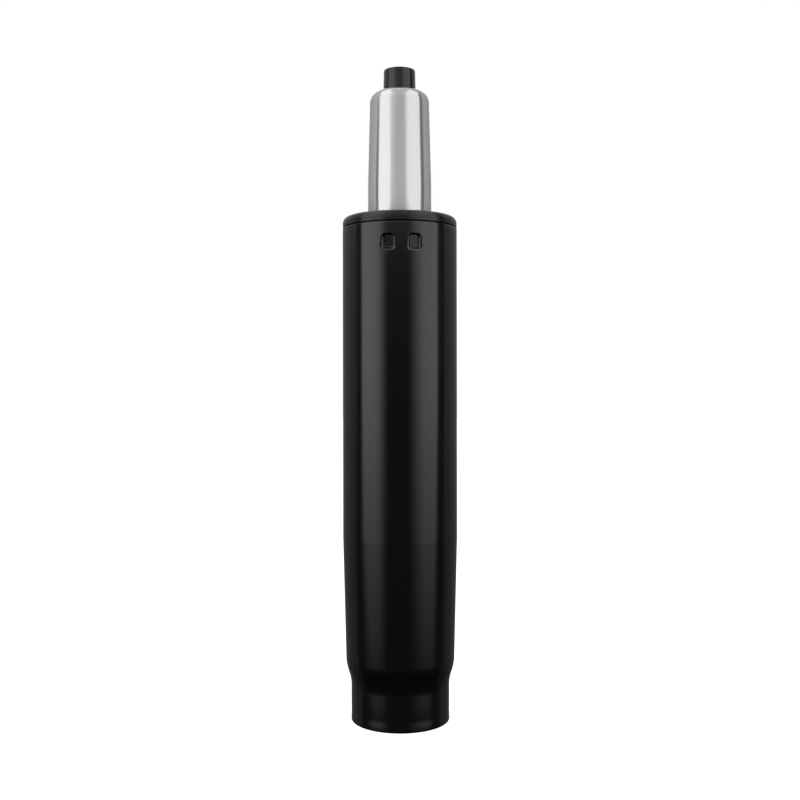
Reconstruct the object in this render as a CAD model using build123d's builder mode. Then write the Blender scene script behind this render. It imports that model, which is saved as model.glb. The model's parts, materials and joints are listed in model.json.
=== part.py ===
from build123d import *
from math import cos, radians, sin, tan
import os

# Gas lift of an office chair, standing on its lower rim with the column pushed right in.
# Origin at the centre of the lower rim, Z up, front towards -Y, lengths in millimetres.

os.makedirs("parts", exist_ok=True)

# Driving dimensions
stand_radius = 25.0  # the stand tube, which the chair's base is bored for
stand_height = 215.0
stand_wall = 1.5
base_cone_top = 80.0  # the taper that wedges in the hub of the base
base_cone_bottom = 27.5
foot_inset = 3.65  # of the drawn-in band below the taper
column_radius = 14.0  # the sliding column, which the seat plate is bored for
column_length = 252.25
column_wall = 1.5
seat_cone_drop = 40.8  # from the column's top face down to the start of its taper
taper_half_angle = 1 + 26 / 60 + 16 / 3600  # degrees
stroke = 100.0
cylinder_radius = 10.0  # bore of the pressure cylinder inside the column
cylinder_wall = 1.0
rod_radius = 5.0
button_rise = 9.5  # of the release button above the column
button_travel = 5.0

# Clearances
running_clearance = 0.05  # pieces that slide or turn in each other
seat_clearance = 0.05  # pieces that are pushed into a bore and stay there
stop_gap = 0.3  # between a stop and what it stops, at the end of the travel

# Stack of the foot, from the rim up
base_skirt_height = 4.9
base_disc_thickness = 2.5
race_thickness = 1.2
ball_radius = 2.0
ball_sink = 0.48  # of a ball into each race
thrust_washer_thickness = 1.5
bumper_height = 8.8

base_top = stand_wall + base_skirt_height
lower_race_top = base_top + race_thickness
ball_height = lower_race_top - ball_sink + ball_radius
upper_race_bottom = ball_height + ball_radius - ball_sink
upper_race_top = upper_race_bottom + race_thickness
rod_shoulder = upper_race_top + thrust_washer_thickness
bumper_top = rod_shoulder + bumper_height

# Stack of the column, from its lower end up
end_washer_thickness = 2.0
seal_washer_thickness = 2.0
rod_seal_height = 8.0
rod_guide_height = 8.0
rod_guide_spigot = 4.5

column_bottom = bumper_top + stop_gap
end_washer_bottom = column_bottom + column_wall
seal_washer_bottom = end_washer_bottom + end_washer_thickness
rod_seal_bottom = seal_washer_bottom + seal_washer_thickness
rod_guide_bottom = rod_seal_bottom + rod_seal_height
cylinder_bottom = rod_guide_bottom + rod_guide_height
rod_guide_top = cylinder_bottom + rod_guide_spigot

# Stack of the piston, which the rod guide meets when the column is right out
stop_washer_thickness = 1.5
piston_height = 9.0
top_washer_thickness = 1.5
nut_height = 5.0

piston_seat = rod_guide_top + stroke + stop_gap
piston_bottom = piston_seat + stop_washer_thickness
piston_top = piston_bottom + piston_height
nut_bottom = piston_top + top_washer_thickness
nut_top = nut_bottom + nut_height

# Stack of the valve, from the column's rolled shoulder down
shoulder_radius = 5.0
retainer_height = 11.5
retainer_floor = 4.0
housing_head = 15.0
housing_waist = 5.0
housing_spigot = 12.0

column_top = column_bottom + column_length
shoulder_height = column_top - shoulder_radius
retainer_bottom = shoulder_height - seat_clearance - retainer_height
waist_top = retainer_bottom - housing_head
cylinder_top = waist_top - housing_waist
housing_bottom = cylinder_top - housing_spigot

# Tapers
taper_slope = tan(radians(taper_half_angle))
taper_cos = cos(radians(taper_half_angle))
taper_sin = sin(radians(taper_half_angle))
half_taper_slope = tan(radians(taper_half_angle) / 2)
seat_cone_bottom = column_top - seat_cone_drop
column_bore = column_radius - column_wall


def bore_at(height):
    """Radius of the column's bore at a height on its taper."""
    cone_bore = column_radius - column_wall / taper_cos - (height - seat_cone_bottom) * taper_slope
    return min(column_bore, cone_bore)


def turn_outline(*corners, mode=Mode.ADD):
    """Turn a section, given by its (radius, height) corners, about the axis of the lift."""
    with BuildSketch(Plane.XZ) as section:
        with BuildLine():
            Polyline(*corners, close=True)
        make_face()
    revolve(section.sketch, axis=Axis.Z, mode=mode)


def make_ring(inner_radius, outer_radius, bottom, top, mode=Mode.ADD):
    """Make a plain washer or tube between two heights."""
    with BuildSketch(Plane.XY.offset(bottom)) as section:
        Circle(outer_radius)
        Circle(inner_radius, mode=Mode.SUBTRACT)
    extrude(section.sketch, amount=top - bottom, mode=mode)


# Crimps that lock the guide bush: two at the front and two behind, pressed in below the rim
crimp_angles = (-103.2, -76.8, 76.8, 103.2)  # degrees, -90 is the front
crimp_drop = 9.2  # from the top of the tube to the middle of a crimp
crimp_width = 7.0
crimp_top_width = 5.2
crimp_height = 7.2
crimp_floor_width = 3.6
crimp_floor_top_width = 3.2
crimp_floor_height = 5.4
crimp_floor_rise = 0.6  # the upper wall is the steep one
crimp_depth = 1.3
crimp_corner = 0.9


def crimp_shape(outer_radius, inner_radius, margin):
    """One crimp's pyramid on the +X side, between two distances from the axis, grown by a margin."""
    mouth = (outer_radius, crimp_width, crimp_top_width, crimp_height, 0)
    floor = (inner_radius, crimp_floor_width, crimp_floor_top_width, crimp_floor_height, crimp_floor_rise)
    with BuildPart() as crimp:
        for distance, width, top_width, height, rise in (mouth, floor):
            half_width = width / 2 + margin
            half_top = top_width / 2 + margin
            bottom = rise - height / 2 - margin
            top = rise + height / 2 + margin
            low = ((-half_width, bottom), (half_width, bottom))
            high = ((half_top, top), (-half_top, top))
            level = Vector(distance, 0, stand_height - crimp_drop)
            with BuildSketch(Plane(level, x_dir=(0, 1, 0), z_dir=(1, 0, 0))) as section:
                with BuildLine():
                    Polyline(*low, *high, close=True)
                make_face()
                fillet(section.vertices(), radius=crimp_corner)
        loft()
    return crimp.part


stand_bore = stand_radius - stand_wall
wall_middle = stand_radius - stand_wall / 2
crimp_pit = crimp_shape(stand_radius, stand_radius - crimp_depth, 0)
crimp_boss = crimp_shape(wall_middle, stand_bore - crimp_depth, stand_wall / 2)
crimp_reach = stand_bore - crimp_depth - seat_clearance
crimp_socket = crimp_shape(wall_middle, crimp_reach, stand_wall / 2 + seat_clearance)

# Stand tube: straight, tapered for the base, necked in, and rolled under at the rim
stand_edge = 0.5
rim_roll = 1.1  # outer radius of the rolled rim
rim_width = 4.35  # of the rolled ring that the lift stands on
neck_turn = 20.0  # degrees that the neck leans at its steepest

cone_foot = stand_radius - (base_cone_top - base_cone_bottom) * taper_slope
foot_radius = stand_radius - foot_inset
rim_opening = foot_radius - rim_width
neck_cos = cos(radians(neck_turn))
neck_sin = sin(radians(neck_turn))
neck_bend = (cone_foot - foot_radius) / (1 + taper_cos - 2 * neck_cos)
neck_radius = foot_radius + neck_bend * (1 - neck_cos)
neck_height = base_cone_bottom - neck_bend * (neck_sin - taper_sin)
neck_foot = neck_height - neck_bend * neck_sin
foot_bore = foot_radius - stand_wall

with BuildPart() as outer_tube:
    with BuildSketch(Plane.XZ):
        with BuildLine():
            cone_start = (cone_foot, base_cone_bottom)
            neck_middle = (neck_radius, neck_height)
            Polyline((stand_radius, stand_height), (stand_radius, base_cone_top), cone_start)
            TangentArc(cone_start, neck_middle, tangent=(-taper_sin, -taper_cos))
            TangentArc(neck_middle, (foot_radius, neck_foot), tangent=(-neck_sin, -neck_cos))
            Polyline(
                (foot_radius, neck_foot),
                (foot_radius, 0),
                (rim_opening, 0),
                (rim_opening, stand_wall),
                (foot_bore, stand_wall),
                (foot_bore, neck_foot),
            )
            inner_middle = (neck_radius - stand_wall * neck_cos, neck_height + stand_wall * neck_sin)
            inner_start = (cone_foot - stand_wall * taper_cos, base_cone_bottom + stand_wall * taper_sin)
            TangentArc((foot_bore, neck_foot), inner_middle, tangent=(0, 1))
            TangentArc(inner_middle, inner_start, tangent=(neck_sin, neck_cos))
            Polyline(
                inner_start,
                (stand_bore, base_cone_top + stand_wall * half_taper_slope),
                (stand_bore, stand_height),
                (stand_radius, stand_height),
            )
        make_face()
    revolve(axis=Axis.Z)
    rims = outer_tube.edges().filter_by(GeomType.CIRCLE)
    fillet(rims.group_by(Axis.Z)[-1].sort_by(SortBy.RADIUS)[-1], radius=stand_edge)
    rims = outer_tube.edges().filter_by(GeomType.CIRCLE)
    fillet(rims.group_by(Axis.Z)[0].sort_by(SortBy.RADIUS)[-1], radius=rim_roll)
    for angle in crimp_angles:
        add(crimp_boss, rotation=(0, 0, angle))
    for angle in crimp_angles:
        add(crimp_pit, rotation=(0, 0, angle), mode=Mode.SUBTRACT)

outer_tube.part.label = "outer_tube"
export_step(outer_tube.part, "parts/outer_tube.step")

# Guide bush: a moulded flange on the tube's rim over a long ribbed sleeve for the column
bush_flange_height = 4.3
bush_flange_inset = 0.05
bush_flange_edge = 1.2
bush_flange_chamfer = 0.35
bush_lead_in = 0.5
bush_collar_height = 17.0  # the solid band that the crimps press into
bush_length = 85.0
bush_sleeve_wall = 2.2
bush_rib_count = 12
bush_rib_thickness = 1.8
bush_rib_inset = 0.15  # the rings, not the ribs, fit the tube
bush_ring_height = 3.0
bush_flute_count = 6
bush_flute_start = 15.0  # degrees, between two ribs
bush_flute_radius = 0.8
bush_flute_margin = 6.0  # plain bore left at each end of a flute

bush_bore = column_radius + running_clearance
bush_outer = stand_bore - seat_clearance
bush_flange_radius = stand_radius - bush_flange_inset
bush_top = stand_height + bush_flange_height
bush_bottom = stand_height - bush_length
bush_sleeve_radius = bush_bore + bush_sleeve_wall
bush_collar_bottom = stand_height - bush_collar_height
bush_middle = (bush_bottom + bush_collar_bottom) / 2

with BuildPart() as guide_bush:
    turn_outline(
        (bush_bore, bush_bottom),
        (bush_outer, bush_bottom),
        (bush_outer, bush_bottom + bush_ring_height),
        (bush_sleeve_radius, bush_bottom + bush_ring_height),
        (bush_sleeve_radius, bush_middle - bush_ring_height / 2),
        (bush_outer, bush_middle - bush_ring_height / 2),
        (bush_outer, bush_middle + bush_ring_height / 2),
        (bush_sleeve_radius, bush_middle + bush_ring_height / 2),
        (bush_sleeve_radius, bush_collar_bottom),
        (bush_outer, bush_collar_bottom),
        (bush_outer, stand_height),
        (bush_flange_radius - bush_flange_chamfer, stand_height),
        (bush_flange_radius, stand_height + bush_flange_chamfer),
        (bush_flange_radius, bush_top),
        (bush_bore + bush_lead_in, bush_top),
        (bush_bore, bush_top - bush_lead_in),
    )
    rims = guide_bush.edges().filter_by(GeomType.CIRCLE)
    fillet(rims.group_by(Axis.Z)[-1].sort_by(SortBy.RADIUS)[-1], radius=bush_flange_edge)
    for angle in crimp_angles:
        add(crimp_socket, rotation=(0, 0, angle), mode=Mode.SUBTRACT)
    with BuildSketch(Plane.XY.offset(bush_bottom + bush_ring_height / 2)):
        with PolarLocations(0, bush_rib_count):
            Rectangle(bush_outer, bush_rib_thickness, align=(Align.MIN, Align.CENTER))
        Circle(bush_bore + bush_sleeve_wall / 2, mode=Mode.SUBTRACT)
        Circle(bush_outer - bush_rib_inset, mode=Mode.INTERSECT)
    extrude(amount=bush_collar_bottom - bush_bottom)
    with BuildSketch(Plane.XY.offset(bush_bottom + bush_flute_margin)):
        with PolarLocations(bush_bore, bush_flute_count, start_angle=bush_flute_start):
            Circle(bush_flute_radius)
    extrude(amount=bush_length - 2 * bush_flute_margin, mode=Mode.SUBTRACT)

guide_bush.part.label = "guide_bush"
export_step(guide_bush.part, "parts/guide_bush.step")

# Base plate: a pressed cup, open side down, standing on the rolled rim
base_skirt_wall = 2.0
base_edge = 1.5
base_inner_edge = 0.8
journal_radius = 4.0  # the rod's thin end, which goes through the plate

base_radius = foot_bore - seat_clearance
base_disc_bottom = base_top - base_disc_thickness
journal_hole = journal_radius + 2 * running_clearance

with BuildPart() as base_plate:
    turn_outline(
        (journal_hole, base_disc_bottom),
        (base_radius - base_skirt_wall, base_disc_bottom),
        (base_radius - base_skirt_wall, stand_wall),
        (base_radius, stand_wall),
        (base_radius, base_top),
        (journal_hole, base_top),
    )
    rims = base_plate.edges().filter_by(GeomType.CIRCLE)
    fillet(rims.group_by(Axis.Z)[-1].sort_by(SortBy.RADIUS)[-1], radius=base_edge)
    rims = base_plate.edges().filter_by(GeomType.CIRCLE)
    inner_rims = rims.filter_by_position(Axis.Z, base_disc_bottom, base_disc_bottom)
    fillet(inner_rims.sort_by(SortBy.RADIUS)[-1], radius=base_inner_edge)

base_plate.part.label = "base_plate"
export_step(base_plate.part, "parts/base_plate.step")

# Thrust bearing: two grooved races, a cage and its balls
race_radius = 13.5
lower_race_hole = 5.3
ball_circle_radius = 9.4
ball_count = 10
ball_clearance = 0.08
cage_inner = 6.2
cage_outer = 12.6
cage_thickness = 1.64

upper_race_hole = journal_radius + running_clearance


def cut_ball_groove():
    """Cut the groove that the balls run in."""
    with BuildSketch(Plane.XZ) as section:
        with Locations((ball_circle_radius, ball_height)):
            Circle(ball_radius + ball_clearance)
    revolve(section.sketch, axis=Axis.Z, mode=Mode.SUBTRACT)


with BuildPart() as lower_race:
    make_ring(lower_race_hole, race_radius, base_top, lower_race_top)
    cut_ball_groove()

lower_race.part.label = "lower_race"
export_step(lower_race.part, "parts/lower_race.step")

with BuildPart() as ball_cage:
    make_ring(cage_inner, cage_outer, ball_height - cage_thickness / 2, ball_height + cage_thickness / 2)
    with BuildSketch(Plane.XY.offset(ball_height - cage_thickness / 2)):
        with PolarLocations(ball_circle_radius, ball_count):
            Circle(ball_radius + ball_clearance)
    extrude(amount=cage_thickness, mode=Mode.SUBTRACT)

ball_cage.part.label = "ball_cage"
export_step(ball_cage.part, "parts/ball_cage.step")

with BuildPart() as bearing_balls:
    with Locations(Plane.XY.offset(ball_height)):
        with PolarLocations(ball_circle_radius, ball_count):
            Sphere(ball_radius)

bearing_balls.part.label = "bearing_balls"
export_step(bearing_balls.part, "parts/bearing_balls.step")

with BuildPart() as upper_race:
    make_ring(upper_race_hole, race_radius, upper_race_bottom, upper_race_top)
    cut_ball_groove()

upper_race.part.label = "upper_race"
export_step(upper_race.part, "parts/upper_race.step")

thrust_washer_radius = 11.5

with BuildPart() as thrust_washer:
    make_ring(upper_race_hole, thrust_washer_radius, upper_race_top, rod_shoulder)

thrust_washer.part.label = "thrust_washer"
export_step(thrust_washer.part, "parts/thrust_washer.step")

# Bumper: a rubber ring round the rod, waisted so that it can bulge
bumper_radius = 11.0
bumper_waist = 1.5
bumper_land = 1.8  # straight band above and below the waist
bumper_edge = 0.8
bumper_hole = rod_radius + running_clearance

with BuildPart() as bumper_ring:
    turn_outline(
        (bumper_hole, rod_shoulder),
        (bumper_radius, rod_shoulder),
        (bumper_radius, rod_shoulder + bumper_land),
        (bumper_radius - bumper_waist, rod_shoulder + bumper_height / 2),
        (bumper_radius, bumper_top - bumper_land),
        (bumper_radius, bumper_top),
        (bumper_hole, bumper_top),
    )
    rims = bumper_ring.edges().filter_by(GeomType.CIRCLE)
    fillet(rims.group_by(Axis.Z)[-1].sort_by(SortBy.RADIUS)[-1], radius=bumper_edge)

bumper_ring.part.label = "bumper_ring"
export_step(bumper_ring.part, "parts/bumper_ring.step")

# Piston rod: fixed in the foot, with a clip groove below and the piston's journal above
rod_foot = 0.5  # clear of the floor
rod_chamfer = 0.4
clip_groove_depth = 1.0
clip_groove_height = 1.4
clip_groove_bottom = 1.3
piston_journal = 3.5
rod_end_rise = 0.8  # past the nut

clip_groove_radius = journal_radius - clip_groove_depth
clip_groove_top = clip_groove_bottom + clip_groove_height
rod_end = nut_top + rod_end_rise

with BuildPart() as piston_rod:
    turn_outline(
        (0, rod_foot),
        (journal_radius - rod_chamfer, rod_foot),
        (journal_radius, rod_foot + rod_chamfer),
        (journal_radius, clip_groove_bottom),
        (clip_groove_radius, clip_groove_bottom),
        (clip_groove_radius, clip_groove_top),
        (journal_radius, clip_groove_top),
        (journal_radius, rod_shoulder),
        (rod_radius, rod_shoulder),
        (rod_radius, piston_seat),
        (piston_journal, piston_seat),
        (piston_journal, rod_end - rod_chamfer),
        (piston_journal - rod_chamfer, rod_end),
        (0, rod_end),
    )

piston_rod.part.label = "piston_rod"
export_step(piston_rod.part, "parts/piston_rod.step")

# Clip and washer that hold the rod in the base plate
clip_washer_radius = 9.0
clip_washer_thickness = 1.0
clip_thickness = 1.3
clip_radius = 6.2
clip_leg = 7.4  # from the axis to the ends of the legs
clip_throat = 5.2  # narrower than the groove, so that the clip snaps on

with BuildPart() as clip_washer:
    make_ring(upper_race_hole, clip_washer_radius, clip_groove_top, clip_groove_top + clip_washer_thickness)

clip_washer.part.label = "clip_washer"
export_step(clip_washer.part, "parts/clip_washer.step")

with BuildPart() as retaining_clip:
    with BuildSketch(Plane.XY.offset(clip_groove_top - clip_thickness)):
        Circle(clip_radius)
        Rectangle(clip_leg, 2 * clip_radius, align=(Align.MIN, Align.CENTER))
        Circle(clip_groove_radius + running_clearance, mode=Mode.SUBTRACT)
        Rectangle(clip_leg, clip_throat, align=(Align.MIN, Align.CENTER), mode=Mode.SUBTRACT)
    extrude(amount=clip_thickness)

retaining_clip.part.label = "retaining_clip"
export_step(retaining_clip.part, "parts/retaining_clip.step")

# Piston group on the rod's upper journal
stop_washer_radius = 8.5
top_washer_radius = 8.0
piston_groove_depth = 2.3
piston_groove_height = 3.0
piston_seal_height = 2.8
nut_across_flats = 10.0
nut_chamfer = 0.5

piston_radius = cylinder_radius - running_clearance
piston_hole = piston_journal + running_clearance
piston_middle = (piston_bottom + piston_top) / 2

with BuildPart() as piston_stop_washer:
    make_ring(piston_hole, stop_washer_radius, piston_seat, piston_bottom)

piston_stop_washer.part.label = "piston_stop_washer"
export_step(piston_stop_washer.part, "parts/piston_stop_washer.step")

with BuildPart() as piston:
    make_ring(piston_hole, piston_radius, piston_bottom, piston_top)
    groove_radius = piston_radius - piston_groove_depth
    groove_bottom = piston_middle - piston_groove_height / 2
    make_ring(groove_radius, stand_radius, groove_bottom, groove_bottom + piston_groove_height, Mode.SUBTRACT)

piston.part.label = "piston"
export_step(piston.part, "parts/piston.step")

with BuildPart() as piston_seal:
    seal_bottom = piston_middle - piston_seal_height / 2
    seal_inner = groove_radius + seat_clearance
    make_ring(seal_inner, piston_radius, seal_bottom, seal_bottom + piston_seal_height)

piston_seal.part.label = "piston_seal"
export_step(piston_seal.part, "parts/piston_seal.step")

with BuildPart() as piston_top_washer:
    make_ring(piston_hole, top_washer_radius, piston_top, nut_bottom)

piston_top_washer.part.label = "piston_top_washer"
export_step(piston_top_washer.part, "parts/piston_top_washer.step")

with BuildPart() as piston_nut:
    with BuildSketch(Plane.XY.offset(nut_bottom)):
        RegularPolygon(nut_across_flats / 2, 6, major_radius=False)
        Circle(piston_hole, mode=Mode.SUBTRACT)
    extrude(amount=nut_height)
    turn_outline(
        (nut_across_flats / 2, nut_top),
        (nut_across_flats, nut_top),
        (nut_across_flats, nut_top - 2 * nut_chamfer),
        (nut_across_flats / 2 + nut_chamfer, nut_top - nut_chamfer / 2),
        mode=Mode.SUBTRACT,
    )

piston_nut.part.label = "piston_nut"
export_step(piston_nut.part, "parts/piston_nut.step")

# Column: bright tube, rolled in below, tapered for the seat and rolled to a shoulder on top
column_lip = 8.0  # opening of the rolled lower end
column_roll = 1.2
button_hole = 7.1
button_hole_edge = 0.3

shoulder_bend = shoulder_radius - column_wall
shoulder_start = shoulder_height + shoulder_radius * taper_sin
cone_end = column_radius - (shoulder_start - seat_cone_bottom) * taper_slope
shoulder_centre = cone_end - shoulder_radius * taper_cos

with BuildPart() as pressure_tube:
    with BuildSketch(Plane.XZ):
        with BuildLine():
            bend_rise = shoulder_bend * taper_sin
            inner_end = (shoulder_centre + shoulder_bend * taper_cos, shoulder_height + bend_rise)
            shoulder_end = (shoulder_centre, column_top)
            Polyline(
                (column_lip, end_washer_bottom),
                (column_lip, column_bottom),
                (column_radius, column_bottom),
                (column_radius, seat_cone_bottom),
                (cone_end, shoulder_start),
            )
            TangentArc((cone_end, shoulder_start), shoulder_end, tangent=(-taper_sin, taper_cos))
            Polyline(
                shoulder_end,
                (button_hole, column_top),
                (button_hole, column_top - column_wall),
                (shoulder_centre, column_top - column_wall),
            )
            TangentArc((shoulder_centre, column_top - column_wall), inner_end, tangent=(1, 0))
            Polyline(
                inner_end,
                (column_bore, seat_cone_bottom - column_wall * half_taper_slope),
                (column_bore, end_washer_bottom),
                (column_lip, end_washer_bottom),
            )
        make_face()
    revolve(axis=Axis.Z)
    rims = pressure_tube.edges().filter_by(GeomType.CIRCLE)
    fillet(rims.group_by(Axis.Z)[0].sort_by(SortBy.RADIUS)[-1], radius=column_roll)
    rims = pressure_tube.edges().filter_by(GeomType.CIRCLE)
    fillet(rims.group_by(Axis.Z)[-1].sort_by(SortBy.RADIUS)[0], radius=button_hole_edge)

pressure_tube.part.label = "pressure_tube"
export_step(pressure_tube.part, "parts/pressure_tube.step")

# Pressure cylinder inside the column, with the gas channel left round it
with BuildPart() as inner_tube:
    make_ring(cylinder_radius, cylinder_radius + cylinder_wall, cylinder_bottom, cylinder_top)

inner_tube.part.label = "inner_tube"
export_step(inner_tube.part, "parts/inner_tube.step")

# Rod guide, seal and washers in the column's lower end
guide_slot_count = 4
guide_slot_width = 2.5
guide_slot_depth = 1.4
seal_groove_width = 2.2  # between the seal's inner and outer lips
seal_groove_depth = 3.0
seal_lip_depth = 1.0  # the wiping lip below stands proud of the seal's bore by this much
seal_lip_height = 2.0
seal_web = 1.5

packing_radius = column_bore - seat_clearance
rod_bore = rod_radius + running_clearance
spigot_radius = cylinder_radius - seat_clearance

with BuildPart() as rod_guide:
    make_ring(rod_bore, packing_radius, rod_guide_bottom, cylinder_bottom)
    make_ring(rod_bore, spigot_radius, cylinder_bottom, rod_guide_top)
    with BuildSketch(Plane.XY.offset(cylinder_bottom - guide_slot_depth)):
        with PolarLocations(spigot_radius - guide_slot_depth, guide_slot_count):
            Rectangle(packing_radius, guide_slot_width, align=(Align.MIN, Align.CENTER))
    extrude(amount=guide_slot_depth + rod_guide_spigot, mode=Mode.SUBTRACT)

rod_guide.part.label = "rod_guide"
export_step(rod_guide.part, "parts/rod_guide.step")

with BuildPart() as rod_seal:
    seal_middle = (rod_bore + packing_radius) / 2
    seal_bore = rod_bore + seal_lip_depth
    turn_outline(
        (rod_bore, rod_seal_bottom),
        (packing_radius, rod_seal_bottom),
        (packing_radius, rod_guide_bottom),
        (seal_middle + seal_groove_width / 2, rod_guide_bottom),
        (seal_middle, rod_guide_bottom - seal_groove_depth),
        (seal_middle - seal_groove_width / 2, rod_guide_bottom),
        (rod_bore, rod_guide_bottom),
        (rod_bore, rod_guide_bottom - seal_lip_height),
        (seal_bore, rod_guide_bottom - seal_lip_height - seal_web),
        (seal_bore, rod_seal_bottom + seal_lip_height + seal_web),
        (rod_bore, rod_seal_bottom + seal_lip_height),
    )

rod_seal.part.label = "rod_seal"
export_step(rod_seal.part, "parts/rod_seal.step")

with BuildPart() as seal_washer:
    make_ring(rod_bore, packing_radius, seal_washer_bottom, rod_seal_bottom)

seal_washer.part.label = "seal_washer"
export_step(seal_washer.part, "parts/seal_washer.step")

with BuildPart() as end_washer:
    make_ring(rod_bore, packing_radius, end_washer_bottom, seal_washer_bottom)

end_washer.part.label = "end_washer"
export_step(end_washer.part, "parts/end_washer.step")

# Valve: the pin, its housing on the cylinder, two pin seals with a spacer, and a retainer
pin_radius = 1.95
pin_neck_radius = 1.3
pin_head_radius = 3.6
pin_head_height = 3.5
port_radius = 1.2
seal_bore_radius = 4.5
neck_margin = 0.4  # between the top of the pin's neck and the lower pin seal
housing_groove_height = 3.0
housing_groove_share = 0.4  # of the head's height, up to the groove
housing_ring_section = 1.1  # section radius of the ring round the housing
seat_chamfer = 0.6

pin_bore = pin_radius + running_clearance
pin_ring_section = (seal_bore_radius - pin_radius) / 2 - seat_clearance
pin_ring_radius = (seal_bore_radius + pin_radius) / 2
port_height = waist_top - housing_waist / 2
pin_neck_top = port_height + port_radius + button_travel + neck_margin
lower_seal_bottom = pin_neck_top + neck_margin
lower_seal_top = lower_seal_bottom + 2 * pin_ring_section
upper_seal_bottom = retainer_bottom - 2 * pin_ring_section
ring_height = waist_top + housing_head * housing_groove_share + housing_groove_height / 2
ring_circle_radius = bore_at(ring_height + housing_ring_section) - seat_clearance - housing_ring_section
ring_groove = ring_circle_radius - housing_ring_section - seat_clearance

with BuildPart() as valve_housing:
    waist_radius = cylinder_radius + cylinder_wall
    groove_low = ring_height - housing_groove_height / 2
    groove_high = ring_height + housing_groove_height / 2
    turn_outline(
        (pin_bore + seat_chamfer, housing_bottom),
        (spigot_radius, housing_bottom),
        (spigot_radius, cylinder_top),
        (waist_radius, cylinder_top),
        (waist_radius, waist_top),
        (bore_at(waist_top) - seat_clearance, waist_top),
        (bore_at(groove_low) - seat_clearance, groove_low),
        (ring_groove, groove_low),
        (ring_groove, groove_high),
        (bore_at(groove_high) - seat_clearance, groove_high),
        (bore_at(retainer_bottom) - seat_clearance, retainer_bottom),
        (seal_bore_radius, retainer_bottom),
        (seal_bore_radius, lower_seal_bottom),
        (pin_bore, lower_seal_bottom),
        (pin_bore, housing_bottom + seat_chamfer),
    )
    with Locations((0, 0, port_height)):
        Cylinder(port_radius, 2 * column_radius, rotation=(90, 0, 0), mode=Mode.SUBTRACT)
        Cylinder(port_radius, 2 * column_radius, rotation=(0, 90, 0), mode=Mode.SUBTRACT)

valve_housing.part.label = "valve_housing"
export_step(valve_housing.part, "parts/valve_housing.step")

with BuildPart() as valve_spacer:
    make_ring(pin_bore, seal_bore_radius - seat_clearance, lower_seal_top, upper_seal_bottom)

valve_spacer.part.label = "valve_spacer"
export_step(valve_spacer.part, "parts/valve_spacer.step")

with BuildPart() as pin_seals:
    for height in (lower_seal_bottom, upper_seal_bottom):
        with Locations((0, 0, height + pin_ring_section)):
            Torus(pin_ring_radius, pin_ring_section)

pin_seals.part.label = "pin_seals"
export_step(pin_seals.part, "parts/pin_seals.step")

with BuildPart() as housing_seal:
    with Locations((0, 0, ring_height)):
        Torus(ring_circle_radius, housing_ring_section)

housing_seal.part.label = "housing_seal"
export_step(housing_seal.part, "parts/housing_seal.step")

collar_radius = 9.0  # of the button, under the column's top
collar_height = 3.0
collar_bore = 9.4
retainer_hole = 2.4

retainer_top = retainer_bottom + retainer_height
collar_top = column_top - column_wall - stop_gap
button_bottom = collar_top - collar_height

with BuildPart() as valve_retainer:
    turn_outline(
        (retainer_hole, retainer_bottom),
        (bore_at(retainer_bottom) - seat_clearance, retainer_bottom),
        (bore_at(retainer_top) - seat_clearance, retainer_top),
        (collar_bore, retainer_top),
        (collar_bore, retainer_bottom + retainer_floor),
        (retainer_hole, retainer_bottom + retainer_floor),
    )

valve_retainer.part.label = "valve_retainer"
export_step(valve_retainer.part, "parts/valve_retainer.step")

with BuildPart() as valve_pin:
    head_top = housing_bottom - 2 * running_clearance
    turn_outline(
        (0, head_top - pin_head_height),
        (pin_head_radius - seat_chamfer, head_top - pin_head_height),
        (pin_head_radius, head_top - pin_head_height + seat_chamfer),
        (pin_head_radius, head_top),
        (pin_neck_radius, head_top),
        (pin_neck_radius, pin_neck_top - seat_chamfer),
        (pin_radius, pin_neck_top),
        (pin_radius, button_bottom),
        (0, button_bottom),
    )

valve_pin.part.label = "valve_pin"
export_step(valve_pin.part, "parts/valve_pin.step")

# Release button: a slightly tapered plug with a collar that keeps it in the column
button_radius = 6.95
button_top_radius = 6.75
button_edge = 0.6
collar_chamfer = 0.8

with BuildPart() as release_button:
    turn_outline(
        (0, button_bottom),
        (collar_radius, button_bottom),
        (collar_radius, collar_top - collar_chamfer),
        (collar_radius - collar_chamfer, collar_top),
        (button_radius, collar_top),
        (button_radius, column_top),
        (button_top_radius, column_top + button_rise),
        (0, column_top + button_rise),
    )
    rims = release_button.edges().filter_by(GeomType.CIRCLE)
    fillet(rims.group_by(Axis.Z)[-1].sort_by(SortBy.RADIUS)[-1], radius=button_edge)

release_button.part.label = "release_button"
export_step(release_button.part, "parts/release_button.step")
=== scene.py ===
import bmesh
import bpy
import json
import math
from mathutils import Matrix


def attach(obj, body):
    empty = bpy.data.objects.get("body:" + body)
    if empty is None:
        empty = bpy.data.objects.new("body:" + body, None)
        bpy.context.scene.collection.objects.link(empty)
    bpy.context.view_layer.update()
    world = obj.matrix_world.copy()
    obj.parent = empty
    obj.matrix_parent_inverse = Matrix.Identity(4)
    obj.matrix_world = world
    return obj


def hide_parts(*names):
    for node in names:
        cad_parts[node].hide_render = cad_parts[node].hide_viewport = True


# Chair gas lift: the visible shells are turned again here at full smoothness,
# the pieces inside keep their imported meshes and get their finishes.

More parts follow.
